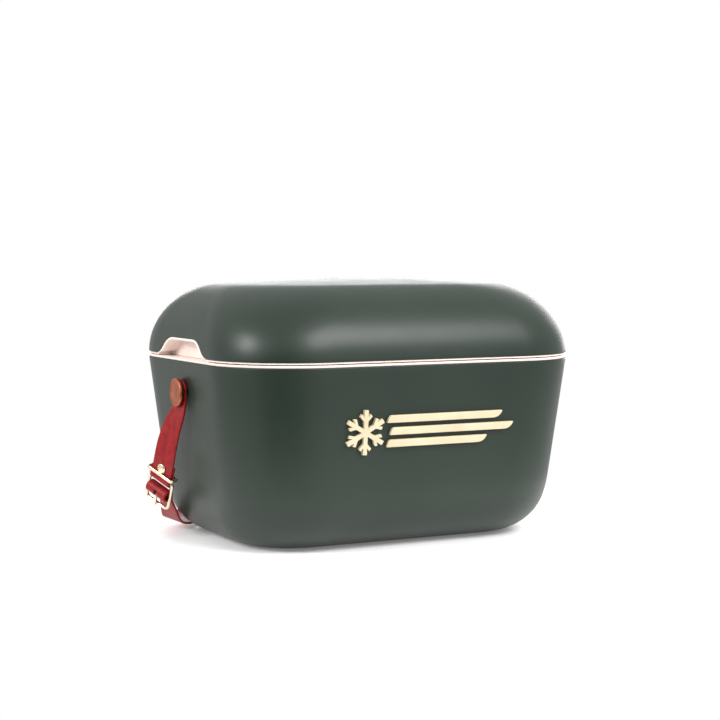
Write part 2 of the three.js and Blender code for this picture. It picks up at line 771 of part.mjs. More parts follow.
function addBadge() {
  const plate = new THREE.Group();
  const out = TUB.halfWidth - TUB.sideDraft * (TUB.height - BADGE.z) + GAP;
  plate.position.set(0, -out, BADGE.z);
  plate.rotation.x = Math.PI / 2 + BADGE.slope;        // local +Z points out of the drafted front
  model.add(plate);
  const raise = (shape) => new THREE.ExtrudeGeometry(shape, {
    depth: BADGE.depth,
    bevelEnabled: false,
    curveSegments: 5,
  });
  const crystal = raise(snowCrystal(BADGE.crystalRadius)).translate(BADGE.crystalX, 0, 0);
  add('badge_crystal', crystal, CREAM, plate);
  const bars = [
    ['badge_bar_upper', -44, 76, 11.5],
    ['badge_bar_middle', -41, 89, 0],
    ['badge_bar_lower', -44, 60, -11.5],
  ];
  for (const [name, x0, x1, y] of bars) add(name, raise(speedBar(x0, x1, y, BADGE.bar)), CREAM, plate);
}

// ---------------------------------------------------------------- assembly

add('tub_shell', tubShell(), GREEN);
add('tub_foam', tubFoam(), FOAM);
add('tub_liner', tubLiner(), PINK);
add('lid_shell', lidShell(), GREEN);
add('lid_foam', lidFoam(), FOAM);
add('lid_liner', lidLiner(), PINK);
addKnob('left', -1);
addKnob('right', 1);
addBadge();
add('short_strap', shortStrap(), LEATHER);
add('long_strap', longStrap(), LEATHER);

const buckle = new THREE.Group();
buckle.applyMatrix4(buckleFrame);
model.add(buckle);
add('buckle_frame', buckleFrameWire(), BRASS, buckle);
add('strap_keeper', keeper(), BRASS, buckle);
add('rivet_screw', rivetScrew(), BRASS, buckle);
add('rivet_post', rivetPost(), BRASS, buckle);
add('buckle_prong', prong(), BRASS, buckle);

export default model;
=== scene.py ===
import math

import bmesh
import bpy
from mathutils import Matrix, Vector


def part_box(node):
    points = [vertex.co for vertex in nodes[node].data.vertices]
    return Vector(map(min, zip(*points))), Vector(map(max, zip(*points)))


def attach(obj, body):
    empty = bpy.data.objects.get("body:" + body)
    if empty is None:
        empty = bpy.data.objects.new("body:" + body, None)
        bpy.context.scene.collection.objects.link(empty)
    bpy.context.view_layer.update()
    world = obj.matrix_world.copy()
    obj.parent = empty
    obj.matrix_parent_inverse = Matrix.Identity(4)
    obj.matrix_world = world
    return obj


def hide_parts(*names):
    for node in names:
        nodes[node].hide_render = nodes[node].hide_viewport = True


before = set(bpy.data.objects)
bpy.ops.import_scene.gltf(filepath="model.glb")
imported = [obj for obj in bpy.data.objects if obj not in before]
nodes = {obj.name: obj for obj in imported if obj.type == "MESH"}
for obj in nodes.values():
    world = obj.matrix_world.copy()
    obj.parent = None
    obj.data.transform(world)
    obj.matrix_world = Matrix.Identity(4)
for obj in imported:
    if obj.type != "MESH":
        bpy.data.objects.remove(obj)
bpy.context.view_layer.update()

# A retro hard cooler box: tub and domed lid with pink liners, and a red leather carry strap.
# Metres, in the frame's axes: +X along the length, -Y the front, +Z up.

MM = 0.001
FLOOR_RADIUS = 0.37


# ---------------------------------------------------------------- camera, floor and light

def set_camera():
    """Three-quarter view from the front left, a little above the lid's lower edge."""
    yaw, pitch = math.radians(27.46), math.radians(5.6)
    data = bpy.data.cameras.new("camera")
    data.lens = 84.76
    data.sensor_width = 36
    data.shift_x = 0.0063
    data.shift_y = 0.0776
    data.clip_end = 20
    camera = bpy.data.objects.new("camera", data)
    camera.location = (-0.7921, -1.5238, 0.2834)
    camera.rotation_euler = (math.pi / 2 - pitch, 0, -yaw)
    bpy.context.scene.collection.objects.link(camera)
    bpy.context.scene.camera = camera


def soft_box(name, place, size, power):
    """Rectangular lamp that faces the middle of the cooler."""
    data = bpy.data.lights.new(name, "AREA")
    data.shape = "RECTANGLE"
    data.size, data.size_y = size
    data.energy = power
    lamp = bpy.data.objects.new(name, data)
    lamp.location = place
    aim = Vector((0, 0, 0.12)) - Vector(place)
    lamp.rotation_euler = aim.to_track_quat("-Z", "Y").to_euler()
    bpy.context.scene.collection.objects.link(lamp)


def white_room():
    """White all round, with a dim patch low in front as from a studio black card."""
    world = bpy.data.worlds.new("white_room")
    world.use_nodes = True
    tree = world.node_tree
    place = tree.nodes.new("ShaderNodeTexCoord")
    aim = tree.nodes.new("ShaderNodeVectorMath")
    aim.operation = "DOT_PRODUCT"
    card = Vector((-0.60, -0.74, -0.15)).normalized()
    aim.inputs[1].default_value = card
    tree.links.new(place.outputs["Generated"], aim.inputs[0])
    fade = tree.nodes.new("ShaderNodeValToRGB")
    fade.color_ramp.elements[0].position = 0.80
    fade.color_ramp.elements[0].color = (0.82, 0.82, 0.82, 1)
    fade.color_ramp.elements[1].position = 0.91
    fade.color_ramp.elements[1].color = (0.02, 0.02, 0.02, 1)
    tree.links.new(aim.outputs["Value"], fade.inputs["Fac"])
    seen = tree.nodes.new("ShaderNodeLightPath")
    pick = tree.nodes.new("ShaderNodeMix")
    pick.data_type = "RGBA"
    tree.links.new(seen.outputs["Is Camera Ray"], pick.inputs["Factor"])
    tree.links.new(fade.outputs["Color"], pick.inputs["A"])
    pick.inputs["B"].default_value = (1, 1, 1, 1)
    background = tree.nodes["Background"]
    tree.links.new(pick.outputs["Result"], background.inputs["Color"])
    background.inputs["Strength"].default_value = 1.0
    bpy.context.scene.world = world


def lay_floor():
    """Small round white floor with a faint glow; past its edge the tub reflects the dim patch instead."""
    bpy.ops.object.select_all(action="DESELECT")
    bpy.ops.mesh.primitive_circle_add(vertices=96, radius=FLOOR_RADIUS, fill_type="NGON", location=(0, 0, 0))
    floor = bpy.context.object
    floor.name = "floor"
    material = bpy.data.materials.new("floor")
    material.use_nodes = True
    shader = material.node_tree.nodes["Principled BSDF"]
    shader.inputs["Base Color"].default_value = (0.93, 0.93, 0.93, 1)
    shader.inputs["Roughness"].default_value = 0.7
    shader.inputs["Specular IOR Level"].default_value = 0.2
    shader.inputs["Emission Color"].default_value = (1, 1, 1, 1)
    shader.inputs["Emission Strength"].default_value = 0.15
    floor.data.materials.append(material)


# ---------------------------------------------------------------- sizes shared with the frame

_, tub_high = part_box("tub_shell")
lid_low, lid_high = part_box("lid_shell")

TUB_LENGTH, TUB_WIDTH, TUB_TOP = tub_high        # half length and half width at the top edge
TUB_CORNER = 85 * MM
END_DRAFT, SIDE_DRAFT = 0.104, 0.0985
END_BOTTOM, SIDE_BOTTOM = 45 * MM, 67 * MM       # radii of the bottom edge
WALL, LINER_SKIN, SKIN = 20 * MM, 2 * MM, 2.5 * MM

LID_BOTTOM = lid_low.z
CROWN = 4.5 * MM
LID_HEIGHT = lid_high.z - LID_BOTTOM - CROWN
LID_END_INSET, LID_SIDE_INSET = 50.6 * MM, 66 * MM
LID_END_POWER, LID_SIDE_POWER = 1.97, 1.6
DOME_END = 0.965                                 # share of the dome where the crown takes over its slope

RIM_INSET = 0.7 * MM                             # pink edges stand this far inside the green
FLANGE_LOW, FLANGE_HIGH = TUB_TOP + 0.3 * MM, TUB_TOP + 2.7 * MM
LIP_LOW, LIP_HIGH = 180.0 * MM, LID_BOTTOM - 0.3 * MM
SEAT, SEAT_INSET = FLANGE_HIGH + 0.3 * MM, 6 * MM
PLUG_INSET, PLUG_LOW = WALL + 1 * MM, 166 * MM

NOTCH_TOP, NOTCH_WAIST, NOTCH_FOOT = 198.5 * MM, 189 * MM, LID_BOTTOM + 0.4 * MM
NOTCH_HALF_TOP, NOTCH_HALF_WAIST, NOTCH_HALF_FOOT = 24 * MM, 48 * MM, 62 * MM
NOTCH_DEPTH, NOTCH_LINING = 16 * MM, 2 * MM

KNOB_Z = 146.5 * MM
KNOB_RADIUS, KNOB_UNDERSIDE, KNOB_THICKNESS = 14 * MM, 193.3 * MM, 3 * MM
STRAP_HALF, STRAP_THICK = 13 * MM, 2.4 * MM

BUCKLE_ACROSS = Vector((0.42, -0.8, -0.43)).normalized()
BUCKLE_PLACE = Vector((-200.9, 25.5, 60.6)) * MM
BAR_RADIUS, BUCKLE_HALF, BUCKLE_LENGTH, CENTRE_BAR = 1.4 * MM, 15.2 * MM, 29 * MM, 14.5 * MM
FRAME_WIRE, FRAME_LOW_CORNER, FRAME_HIGH_CORNER = 1.6 * MM, 5 * MM, 2 * MM
KEEPER_HALF, KEEPER_DEPTH, KEEPER_CORNER = 16.2 * MM, 4.4 * MM, 2.4 * MM
KEEPER_WIRE, KEEPER_FLAT = 1.1 * MM, 0.7 * MM    # edge radius, and half the flat between the edges
KEEPER_HEIGHT, RIVET_HEIGHT = 6.2 * MM, 12.5 * MM
PRONG_SLOT = (3.6 * MM, 11.4 * MM, 9 * MM)       # opening for the prong in the roll of leather
PRONG_SLOT_MIDDLE = (0, -18 * MM, 4.5 * MM)


# ---------------------------------------------------------------- working tools

def deselect():
    bpy.ops.object.select_all(action="DESELECT")


def work_on(piece, mode="OBJECT"):
    """Makes a piece the only selected one, in object or edit mode."""
    deselect()
    piece.select_set(True)
    bpy.context.view_layer.objects.active = piece
    if mode == "EDIT":
        bpy.ops.object.mode_set(mode="EDIT")


def select_where(kind, test):
    """In edit mode, selects only the verts, edges or faces that pass a test of their place."""
    bpy.ops.mesh.select_mode(type={"verts": "VERT", "edges": "EDGE", "faces": "FACE"}[kind])
    bpy.ops.mesh.select_all(action="DESELECT")
    mesh = bmesh.from_edit_mesh(bpy.context.object.data)
    for element in getattr(mesh, kind):
        element.select_set(bool(test(element)))
    mesh.select_flush_mode()
    bmesh.update_edit_mesh(bpy.context.object.data)


def modify(piece, kind, **values):
    """Adds a modifier with these values and applies it."""
    work_on(piece)
    modifier = piece.modifiers.new(kind.lower(), kind)
    for key, value in values.items():
        setattr(modifier, key, value)
    bpy.ops.object.modifier_apply(modifier=modifier.name)


def combine(piece, other, operation):
    """Joins another solid to a piece or cuts it away, and removes that other solid."""
    modify(piece, "BOOLEAN", object=other, operation=operation, solver="EXACT")
    bpy.data.objects.remove(other)


def soften_edges(piece, width, steps=2, angle=40):
    modify(piece, "BEVEL", width=width, segments=steps, limit_method="ANGLE", angle_limit=math.radians(angle))


def shade(piece, angle=35):
    work_on(piece)
    bpy.ops.object.shade_smooth_by_angle(angle=math.radians(angle))


def place_by(piece, matrix):
    """Moves a piece to its place and keeps its object at the origin."""
    work_on(piece)
    piece.matrix_world = matrix
    bpy.ops.object.transform_apply(location=True, rotation=True, scale=True)


def finish_piece(piece, name, body, look, stands_for=()):
    """Names a piece, gives it its finish and lets it ride with its body."""
    piece.name = name
    piece.data.name = name
    piece.data.materials.clear()
    for material in [look] if isinstance(look, bpy.types.Material) else look:
        piece.data.materials.append(material)
    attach(piece, body)
    if stands_for:
        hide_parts(*stands_for)
    return piece


def mesh_piece(name, points, faces, edges=()):
    mesh = bpy.data.meshes.new(name)
    mesh.from_pydata(points, edges, faces)
    piece = bpy.data.objects.new(name, mesh)
    bpy.context.scene.collection.objects.link(piece)
    return piece


def loft(name, rings):
    """Closed solid through rings that all have the same number of points."""
    count = len(rings[0])
    points = [p for ring in rings for p in ring]
    faces = [tuple(reversed(range(count)))]
    for i in range(len(rings) - 1):
        for j in range(count):
            k = (j + 1) % count
            faces.append((i * count + j, i * count + k, (i + 1) * count + k, (i + 1) * count + j))
    faces.append(tuple(range((len(rings) - 1) * count, len(rings) * count)))
    piece = mesh_piece(name, points, faces)
    face_outwards(piece)
    return piece


def face_outwards(piece):
    work_on(piece, "EDIT")
    bpy.ops.mesh.select_all(action="SELECT")
    bpy.ops.mesh.normals_make_consistent(inside=False)
    bpy.ops.object.mode_set(mode="OBJECT")


def turn_profile(name, profile, steps=64):
    """Spins a profile of (radius, height) points round Z into a closed body."""
    points = [(r, 0, z) for r, z in profile]
    piece = mesh_piece(name, points, [], [(i, i + 1) for i in range(len(points) - 1)])
    work_on(piece, "EDIT")
    bpy.ops.mesh.select_all(action="SELECT")
    bpy.ops.mesh.spin(steps=steps, angle=math.tau, center=(0, 0, 0), axis=(0, 0, 1))
    bpy.ops.mesh.select_all(action="SELECT")
    bpy.ops.mesh.remove_doubles(threshold=1e-6)
    bpy.ops.mesh.normals_make_consistent(inside=False)
    bpy.ops.object.mode_set(mode="OBJECT")
    return piece


def rod_along_x(radius, x0, x1, steps=48):
    """A plain round cutter along X at the knob's height."""
    deselect()
    bpy.ops.mesh.primitive_cylinder_add(
        vertices=steps, radius=radius, depth=abs(x1 - x0), rotation=(0, math.pi / 2, 0),
        location=((x0 + x1) / 2, 0, KNOB_Z))
    bpy.ops.object.transform_apply(location=True, rotation=True, scale=True)
    return bpy.context.object


SPREAD = 0.1                                     # height between rings while they are bridged


def stack_sections(name, sections, arc=20, long_cuts=9, short_cuts=7, settle=None):
    """
    One closed wall through round-cornered sections (half length, half width, corner radius, height).
    Each ring is a plane with its corners rounded. The rings are bridged while they stand evenly spread
    in height, and then each point settles to its real place.
    """
    deselect()
    for i, (a, b, r, _) in enumerate(sections):
        centre = (0, 0, i * SPREAD)
        bpy.ops.mesh.primitive_plane_add(size=2, enter_editmode=i == 0, location=centre)
        bpy.ops.transform.resize(value=(a, b, 1), center_override=centre)
        bpy.ops.mesh.bevel(
            affect="VERTICES", offset_type="OFFSET", offset=r, segments=arc, profile=0.5, clamp_overlap=False)
        bpy.ops.mesh.delete(type="ONLY_FACE")
        bpy.ops.mesh.select_all(action="DESELECT")
    piece = bpy.context.object
    piece.name = name
    for axis, cuts in ((0, long_cuts), (1, short_cuts)):
        select_where("edges", lambda e: abs((e.verts[0].co - e.verts[1].co)[1 - axis]) < 1e-6)
        bpy.ops.mesh.subdivide(number_cuts=cuts)
    bpy.ops.mesh.select_all(action="SELECT")
    bpy.ops.mesh.bridge_edge_loops(type="SINGLE")
    for end in (0, len(sections) - 1):
        select_where("verts", lambda v: abs(v.co.z - end * SPREAD) < 1e-4)
        bpy.ops.mesh.edge_face_add()
    bpy.ops.mesh.select_all(action="SELECT")
    bpy.ops.mesh.normals_make_consistent(inside=False)
    bpy.ops.object.mode_set(mode="OBJECT")
    for v in piece.data.vertices:
        index = round(v.co.z / SPREAD)
        v.co.z = sections[index][3]
        if settle:
            v.co = settle(v.co, index)
    return piece


def open_end(piece, height):
    """Removes the flat cap at this height."""
    work_on(piece, "EDIT")
    select_where("faces", lambda f: all(abs(v.co.z - height) < 1e-6 for v in f.verts))
    bpy.ops.mesh.delete(type="FACE")
    bpy.ops.object.mode_set(mode="OBJECT")


# ---------------------------------------------------------------- sections of the tub and the lid

def half_size(z, full, draft, radius, height):
    """Half size of a drafted wall at height z above its base, ending in a round bottom edge."""
    lean = math.atan(draft)
    tangent_height = radius * (1 - math.sin(lean))
    if z >= tangent_height:
        return full - draft * (height - z)
    centre = full - draft * (height - tangent_height) - radius * math.cos(lean)
    return centre + math.sqrt(max(radius ** 2 - (radius - z) ** 2, 0))


def tub_section(z, inset=0.0):
    height = TUB_TOP - inset
    up = max(z - inset, 0)
    a = half_size(up, TUB_LENGTH - inset, END_DRAFT, END_BOTTOM - inset, height)
    b = half_size(up, TUB_WIDTH - inset, SIDE_DRAFT, SIDE_BOTTOM - inset, height)
    straight_a = TUB_LENGTH - inset - END_DRAFT * (height - up)
    straight_b = TUB_WIDTH - inset - SIDE_DRAFT * (height - up)
    r = TUB_CORNER - inset - 0.47 * (straight_a - a + straight_b - b)
    return a, b, r, z


def tub_wall(inset, top, arc_steps, wall_steps):
    """Sections from the tub's floor at this inset up to a height."""
    arc = SIDE_BOTTOM - inset
    levels = [inset + arc * (1 - math.cos(i / arc_steps * math.pi / 2)) for i in range(arc_steps + 1)]
    last = levels[-1]
    levels += [last + (top - last) * i / wall_steps for i in range(1, wall_steps + 1)]
    return [tub_section(z, inset) for z in levels]


def rim_section(inset, z):
    return TUB_LENGTH - inset, TUB_WIDTH - inset, TUB_CORNER - inset, z


def dome_section(t, inset=0.0):
    """Lid section at a share t of the way from its lower edge to the top of its rounded side."""
    angle = t * math.pi / 2
    rise = math.sin(angle) ** (2 / LID_END_POWER)

    def lean(power):
        return 1 - math.cos(angle) ** (2 / power)

    a = TUB_LENGTH - inset - LID_END_INSET * lean(LID_END_POWER)
    b = TUB_WIDTH - inset - LID_SIDE_INSET * lean(LID_SIDE_POWER)
    r = TUB_CORNER - inset + 3 * MM * t
    return a, b, r, LID_BOTTOM + (LID_HEIGHT - inset) * rise


def dome_share(z):
    """The share t at which the lid's skin passes height z."""
    rise = min(max((z - LID_BOTTOM) / LID_HEIGHT, 0), 1)
    return math.asin(rise ** (LID_END_POWER / 2)) / (math.pi / 2)


def notch_height(y, offset=0.0):
    """Height of the finger notch's edge above a distance y from the middle of the lid's end."""
    y = abs(y)
    top, waist, foot = NOTCH_TOP + offset, NOTCH_WAIST + offset, NOTCH_FOOT
    half_waist, half_foot = NOTCH_HALF_WAIST + offset, NOTCH_HALF_FOOT + offset
    if y >= half_foot:
        return LID_BOTTOM
    if y >= half_waist:
        share = (half_foot - y) / (half_foot - half_waist)
        return foot + (waist - foot) * share ** 1.9
    if y >= NOTCH_HALF_TOP:
        share = (half_waist - y) / (half_waist - NOTCH_HALF_TOP)
        return waist + (top - waist) * (1 - (1 - share) ** 2.4)
    return top


# ---------------------------------------------------------------- green shells

def make_tub_shell(look):
    piece = stack_sections("tub_shell", tub_wall(0, TUB_TOP, 18, 9))
    open_end(piece, TUB_TOP)
    modify(piece, "SOLIDIFY", thickness=SKIN, offset=-1, use_even_offset=True)
    soften_edges(piece, 0.6 * MM, 3, 60)
    for side in (-1, 1):
        combine(piece, rod_along_x(2.5 * MM, side * 175 * MM, side * 192 * MM), "DIFFERENCE")
    shade(piece)
    return finish_piece(piece, "green_tub", "tub", look, ["tub_shell"])


def make_lid_shell(look):
    steps, crown_steps = 34, 10
    sections = [dome_section(DOME_END * i / steps) for i in range(steps + 1)]
    a, b, r, z = sections[-1]
    crown = lid_high.z - z
    for i in range(1, crown_steps):
        s = 1 - i / crown_steps
        sections.append((a * s, b * s, r * s, z + crown * (1 - s * s)))
    notch_end = 0.6                              # above this share the rings stay level

    def settle(co, index):
        """The lower edge rises over the finger notch, and the rings above it crowd together."""
        a, b, r, _ = sections[index]
        t = DOME_END * index / steps
        if t >= notch_end or abs(abs(co.x) - a) > 1e-5 or abs(co.y) > b - r:
            return co
        along = co.y / (b - r)
        low = 0.0
        for _ in range(6):
            section = dome_section(low)
            low = dome_share(notch_height(along * (section[1] - section[2]), 0.3 * MM))
        a, b, r, z = dome_section(low + (notch_end - low) * t / notch_end)
        return Vector((math.copysign(a, co.x), along * (b - r), z))

    piece = stack_sections("lid_shell", sections, short_cuts=69, settle=settle)
    work_on(piece, "EDIT")
    select_where("faces", lambda f: len(f.verts) > 100 and f.calc_center_median().z < LID_BOTTOM + 20 * MM)
    bpy.ops.mesh.delete(type="FACE")
    bpy.ops.object.mode_set(mode="OBJECT")
    modify(piece, "SOLIDIFY", thickness=SKIN, offset=-1, use_even_offset=True)
    soften_edges(piece, 0.45 * MM, 3, 60)
    shade(piece)
    return finish_piece(piece, "green_lid", "lid", look, ["lid_shell"])


# ---------------------------------------------------------------- pink liners

def make_tub_liner(look):
    soft = 0.7 * MM
    outside = tub_wall(WALL - LINER_SKIN, FLANGE_LOW - 1.5 * MM, 12, 4)
    inside = tub_wall(WALL, FLANGE_HIGH - 3 * MM, 12, 5)
    flange = [
        rim_section(WALL - LINER_SKIN, FLANGE_LOW),
        rim_section(RIM_INSET + soft, FLANGE_LOW),
        rim_section(RIM_INSET + soft * 0.3, FLANGE_LOW + soft * 0.3),
        rim_section(RIM_INSET, FLANGE_LOW + soft),
        rim_section(RIM_INSET, FLANGE_HIGH - soft),
        rim_section(RIM_INSET + soft * 0.3, FLANGE_HIGH - soft * 0.3),
        rim_section(RIM_INSET + soft, FLANGE_HIGH),
        rim_section(WALL - 3 * MM, FLANGE_HIGH),
        rim_section(WALL - 1.2 * MM, FLANGE_HIGH - 0.4 * MM),
        rim_section(WALL - 0.3 * MM, FLANGE_HIGH - 1.4 * MM),
    ]
    piece = stack_sections("tub_liner", [*outside, *flange, *reversed(inside)])
    shade(piece, 50)
    return finish_piece(piece, "pink_tub_liner", "tub", look, ["tub_liner"])


def notch_ring(x, offset, bottom, steps=10):
    """Closed outline of the finger notch at one distance along X: up one side, over the top and down."""
    half_foot = NOTCH_HALF_FOOT + offset
    half_waist = NOTCH_HALF_WAIST + offset
    side = []
    for i in range(steps):
        side.append(half_foot + (half_waist - half_foot) * i / steps)
    for i in range(steps * 2):
        side.append(half_waist + (NOTCH_HALF_TOP - half_waist) * (1 - (1 - i / steps / 2) ** 1.5))
    side += [NOTCH_HALF_TOP * (1 - i / 4) for i in range(4)]
    ys = side + [0] + [-y for y in reversed(side)]
    points = [(x, y, max(notch_height(y, offset), NOTCH_FOOT)) for y in ys]
    return [(x, half_foot, bottom), *points, (x, -half_foot, bottom)]


def mirrored(rings, side):
    return [[(side * x, y, z) for x, y, z in ring] for ring in rings]


def make_lid_liner(look):
    soft = 0.4 * MM
    sections = [
        rim_section(PLUG_INSET + 60 * MM, PLUG_LOW + 1.5 * MM),
        rim_section(PLUG_INSET + 24 * MM, PLUG_LOW + 1.5 * MM),
        rim_section(PLUG_INSET + 22 * MM, PLUG_LOW + 1.2 * MM),
        rim_section(PLUG_INSET + 19 * MM, PLUG_LOW + 0.2 * MM),
        rim_section(PLUG_INSET + 17 * MM, PLUG_LOW),
        rim_section(PLUG_INSET + 5 * MM, PLUG_LOW),
        rim_section(PLUG_INSET + 2.6 * MM, PLUG_LOW + 0.6 * MM),
        rim_section(PLUG_INSET + 1 * MM, PLUG_LOW + 2.2 * MM),
        rim_section(PLUG_INSET + 0.4 * MM, PLUG_LOW + 4.5 * MM),
        rim_section(PLUG_INSET, SEAT - 1 * MM),
        rim_section(PLUG_INSET - 0.8 * MM, SEAT),
        rim_section(SEAT_INSET, SEAT),
        rim_section(SEAT_INSET, LIP_LOW),
        rim_section(RIM_INSET + soft, LIP_LOW),
        rim_section(RIM_INSET, LIP_LOW + soft),
        rim_section(RIM_INSET, LIP_HIGH - soft),
        rim_section(RIM_INSET + soft, LIP_HIGH),
        rim_section(PLUG_INSET + LINER_SKIN, LIP_HIGH),
        rim_section(PLUG_INSET + LINER_SKIN + 0.6 * MM, PLUG_LOW + LINER_SKIN + 3.4 * MM),
        rim_section(PLUG_INSET + LINER_SKIN + 3 * MM, PLUG_LOW + LINER_SKIN),
        rim_section(PLUG_INSET + 60 * MM, PLUG_LOW + LINER_SKIN + 1.5 * MM),
    ]
    piece = stack_sections("lid_liner", sections)
    front = TUB_LENGTH - RIM_INSET
    back = TUB_LENGTH - NOTCH_DEPTH
    fillet = 3 * MM
    for side in (-1, 1):
        lining = [notch_ring(x, 0, LIP_LOW + 0.8 * MM) for x in (back - NOTCH_LINING, front)]
        hollow = [
            notch_ring(back, -NOTCH_LINING - fillet, LIP_LOW - 2 * MM),
            notch_ring(back + 0.3 * fillet, -NOTCH_LINING - 0.3 * fillet, LIP_LOW - 2 * MM),
            notch_ring(back + fillet, -NOTCH_LINING, LIP_LOW - 2 * MM),
            notch_ring(TUB_LENGTH + 5 * MM, -NOTCH_LINING, LIP_LOW - 2 * MM),
        ]
        combine(piece, loft("lining", mirrored(lining, side)), "UNION")
        combine(piece, loft("hollow", mirrored(hollow, side)), "DIFFERENCE")
    for v in piece.data.vertices:
        if abs(v.co.x) > front - 1e-5 and v.co.z > LIP_HIGH:
            v.co.x = math.copysign(dome_section(dome_share(v.co.z))[0] - 0.4 * MM, v.co.x)
    shade(piece, 32)
    return finish_piece(piece, "pink_lid_liner", "lid", look, ["lid_liner"])


# ---------------------------------------------------------------- knobs

def make_knobs(copper, brass):
    """A slightly dished copper button with a raised rim, on a brass sleeve, at each end."""
    r, t = KNOB_RADIUS, KNOB_THICKNESS
    shank = KNOB_UNDERSIDE - 176 * MM
    cap_profile = [
        (0, -shank), (1.8 * MM, -shank), (2.2 * MM, -shank + 0.4 * MM), (2.2 * MM, 0),
        (r - 0.9 * MM, 0), (r - 0.3 * MM, 0.25 * MM), (r, 0.9 * MM), (r, t - 1.0 * MM),
        (r - 0.25 * MM, t - 0.35 * MM), (r - 0.8 * MM, t), (r - 1.5 * MM, t - 0.05 * MM),
        (r - 2.1 * MM, t - 0.5 * MM), (r - 4 * MM, t - 0.42 * MM),
        (r - 8 * MM, t - 0.28 * MM), (0, t - 0.2 * MM),
    ]
    sleeve_profile = [
        (2.5 * MM, -3.6 * MM), (3.7 * MM, -3.6 * MM), (4 * MM, -3.3 * MM), (4 * MM, -0.6 * MM),
        (3.7 * MM, -0.3 * MM), (2.5 * MM, -0.3 * MM), (2.5 * MM, -3.6 * MM),
    ]
    for label, side in (("left", -1), ("right", 1)):
        turn = Matrix.Rotation(side * math.pi / 2, 4, "Y")
        stand = Matrix.Translation((side * KNOB_UNDERSIDE, 0, KNOB_Z)) @ turn
        cap = turn_profile("cap", cap_profile, 72)
        place_by(cap, stand)
        shade(cap, 40)
        finish_piece(cap, f"{label}_copper_knob", "tub", copper, [f"{label}_knob_cap"])
        sleeve = turn_profile("sleeve", sleeve_profile, 40)
        place_by(sleeve, stand)
        shade(sleeve, 40)
        finish_piece(sleeve, f"{label}_brass_sleeve", "tub", brass, [f"{label}_knob_sleeve"])


# ---------------------------------------------------------------- badge

def make_badge(look):
    """A snow crystal and three speed bars, with their edges rounded over."""
    for node in ("badge_crystal", "badge_bar_upper", "badge_bar_middle", "badge_bar_lower"):
        piece = bpy.data.objects.new(node, nodes[node].data.copy())
        bpy.context.scene.collection.objects.link(piece)
        work_on(piece, "EDIT")
        bpy.ops.mesh.select_all(action="SELECT")
        bpy.ops.mesh.remove_doubles(threshold=1e-5)
        bpy.ops.mesh.dissolve_limited(angle_limit=math.radians(1))
        bpy.ops.object.mode_set(mode="OBJECT")
        soften_edges(piece, 0.7 * MM, 4, 30)
        shade(piece, 40)
        finish_piece(piece, f"cream_{node}", "tub", look, [node])


# ---------------------------------------------------------------- leather strap

def curve_point(points, t):
    """Point at share t of a smooth line through points (centripetal Catmull-Rom)."""
    spans = len(points) - 1
    index = min(int(t * spans), spans - 1)
    weight = t * spans - index
    p1, p2 = points[index], points[index + 1]
    p0 = points[index - 1] if index > 0 else 2 * p1 - p2
    p3 = points[index + 2] if index + 2 <= spans else 2 * p2 - p1
    d0, d1, d2 = (max((q - p).length, 1e-7) ** 0.5 for p, q in ((p0, p1), (p1, p2), (p2, p3)))
    m1 = ((p1 - p0) / d0 - (p2 - p0) / (d0 + d1) + (p2 - p1) / d1) * d1
    m2 = ((p2 - p1) / d1 - (p3 - p1) / (d1 + d2) + (p3 - p2) / d2) * d1
    square, cube = weight ** 2, weight ** 3
    return (p1 * (1 - 3 * square + 2 * cube) + p2 * (3 * square - 2 * cube)
            + m1 * (weight - 2 * square + cube) + m2 * (cube - square))


def strip_section(half, thick, corner=0.85 * MM, corner_steps=4, face_steps=10):
    """Outline of a leather strip across its width: two faces and two rounded edges, as (across, out)."""
    def face(level, direction):
        reach = direction * (half - corner)
        return [(reach * (1 - 2 * i / face_steps), level) for i in range(face_steps + 1)]

    def edge(side, start):
        turns = [start + math.pi * i / corner_steps / 2 for i in range(1, corner_steps * 2)]
        return [(side * (half - corner) + corner * math.cos(a), thick * math.sin(a)) for a in turns]

    return [*face(thick, 1), *edge(-1, math.pi / 2), *face(-thick, -1), *edge(1, -math.pi / 2)]


def make_ribbon(name, stations, steps, tip=None):
    """
    Sweeps the strip's section along stations of (point, direction across). It is rounded where it ends
    under a knob, and at a tip. UVs hold the distance along and across in metres.
    """
    places = [p for p, _ in stations]
    acrosses = [w for _, w in stations]
    count = (len(stations) - 1) * steps
    rings, distances = [], []
    travelled, before = 0.0, places[0]
    for i in range(count + 1):
        t = i / count
        p = curve_point(places, t)
        along = (curve_point(places, min(t + 1e-4, 1)) - curve_point(places, max(t - 1e-4, 0))).normalized()
        w = curve_point(acrosses, t)
        w = (w - along * w.dot(along)).normalized()
        out = along.cross(w)
        short = max(p.z - KNOB_Z, 0) / 0.966
        if tip is not None:
            short = max(short, STRAP_HALF - (p - tip).length)
        share = max(math.sqrt(max(1 - (short / STRAP_HALF) ** 2, 0)), 0.12)
        section = strip_section(STRAP_HALF * share, STRAP_THICK / 2)
        rings.append([p + w * u + out * v for u, v in section])
        travelled += (p - before).length
        before = p
        distances.append(travelled)
    piece = loft(name, rings)
    paint_strip(piece, distances, section)
    return piece


def paint_strip(piece, distances, section):
    """Distance UVs for the leather's grain, and the second material, with its painted shade, on the cut
    edges.
    """
    mesh = piece.data
    size = len(section)
    layer = mesh.uv_layers.new(name="strip")
    face_points = 11
    edge_first = {*range(face_points - 1, face_points + 7), *range(size - 8, size)}
    # cut edges and end faces take the second material, whose dark colour is painted shade
    for polygon in mesh.polygons:
        if len(polygon.vertices) > 4:
            polygon.material_index = 1
            continue
        columns = [v % size for v in polygon.vertices]
        low = min(columns) if max(columns) - min(columns) < size / 2 else max(columns)
        polygon.material_index = 1 if low in edge_first else 0
        for loop in polygon.loop_indices:
            vertex = mesh.loops[loop].vertex_index
            column = vertex % size
            if column < low and low == size - 1:
                column += size
            layer.data[loop].uv = (distances[vertex // size], column * 2.6 * MM)


